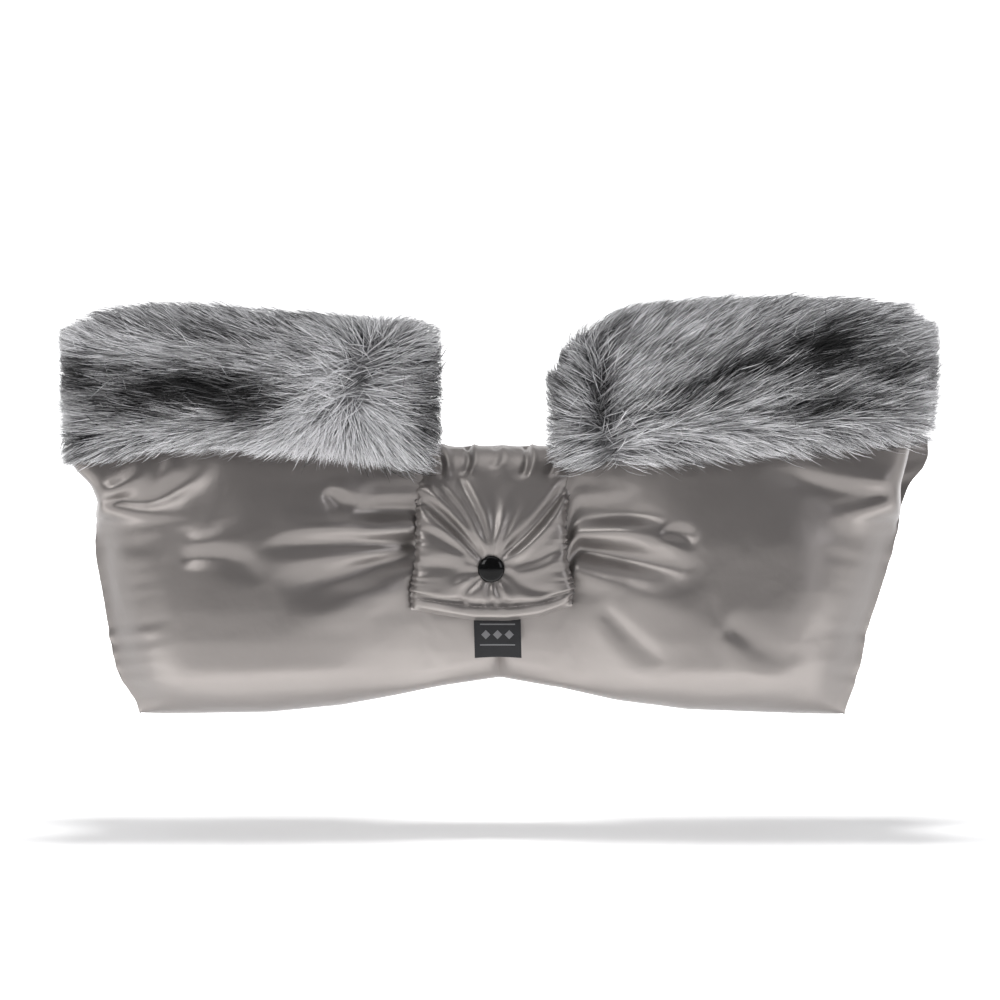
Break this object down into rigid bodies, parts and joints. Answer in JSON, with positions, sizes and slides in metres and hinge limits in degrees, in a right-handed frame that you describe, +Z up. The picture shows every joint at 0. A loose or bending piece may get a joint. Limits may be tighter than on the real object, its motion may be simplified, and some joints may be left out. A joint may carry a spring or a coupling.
{
  "type": "hand warmer muff",
  "caption": "Padded pushchair hand muff in glossy nylon with two pouches, long faux-fur cuffs, a snap strap over the handlebar and a plain woven label.",
  "frame": {"origin": "on the handlebar's axis, at the middle of the muff's width", "axes": "+X along the handlebar, -Y towards the front with the press stud, +Z up"},
  "size_m": [0.492, 0.114, 0.2311],
  "materials": {
    "shell_nylon": "glossy taupe-grey quilting nylon with a metallic sheen",
    "wadding": "white polyester wadding",
    "lining": "matt dark grey fleece",
    "binding": "satin dark grey tape",
    "faux_fur": "long-pile faux fur, mottled black, grey and white",
    "snap_black": "gloss black",
    "snap_metal": "black oxide press-stud parts",
    "label": "charcoal damask-woven ribbon with a plain geometric weave"
  },
  "bodies": {
    "muff": {"shell_left": "shell_nylon", "lining_left": "lining", "slit_binding_left": "binding", "wadding_front_left": "wadding", "wadding_back_left": "wadding", "shell_right": "shell_nylon", "lining_right": "lining", "slit_binding_right": "binding", "wadding_front_right": "wadding", "wadding_back_right": "wadding", "centre_seam_tape": "binding", "strap_tail": "shell_nylon", "snap_stud": "snap_metal", "snap_post": "snap_metal"},
    "strap": {"strap_shell": "shell_nylon", "strap_wadding": "wadding", "strap_lining": "lining", "snap_cap": "snap_black", "snap_socket": "snap_metal", "woven_label": "label"},
    "cuff_front_left": {"fur_cuff_front_left": "faux_fur", "cuff_wadding_front_left": "wadding"},
    "cuff_front_right": {"fur_cuff_front_right": "faux_fur", "cuff_wadding_front_right": "wadding"},
    "cuff_back_left": {"fur_cuff_back_left": "faux_fur", "cuff_wadding_back_left": "wadding"},
    "cuff_back_right": {"fur_cuff_back_right": "faux_fur", "cuff_wadding_back_right": "wadding"}
  },
  "joints": [
    {"name": "strap_swing", "type": "hinge", "parent": "muff", "child": "strap", "pos_m": [-0.004, 0.0248, 0], "axis": [-1, 0, 0], "range_deg": [0, 150]},
    {"name": "cuff_front_left_fold", "type": "hinge", "parent": "muff", "child": "cuff_front_left", "pos_m": [-0.1465, -0.0395, 0.0172], "axis": [1, 0, 0], "range_deg": [0, 40], "stiffness_Nm_per_rad": 0.12},
    {"name": "cuff_front_right_fold", "type": "hinge", "parent": "muff", "child": "cuff_front_right", "pos_m": [0.1465, -0.0395, 0.0172], "axis": [1, 0, 0], "range_deg": [0, 40], "stiffness_Nm_per_rad": 0.12},
    {"name": "cuff_back_left_fold", "type": "hinge", "parent": "muff", "child": "cuff_back_left", "pos_m": [-0.1465, 0.0395, 0.0172], "axis": [-1, 0, 0], "range_deg": [0, 40], "stiffness_Nm_per_rad": 0.12},
    {"name": "cuff_back_right_fold", "type": "hinge", "parent": "muff", "child": "cuff_back_right", "pos_m": [0.1465, 0.0395, 0.0172], "axis": [-1, 0, 0], "range_deg": [0, 40], "stiffness_Nm_per_rad": 0.12}
  ]
}
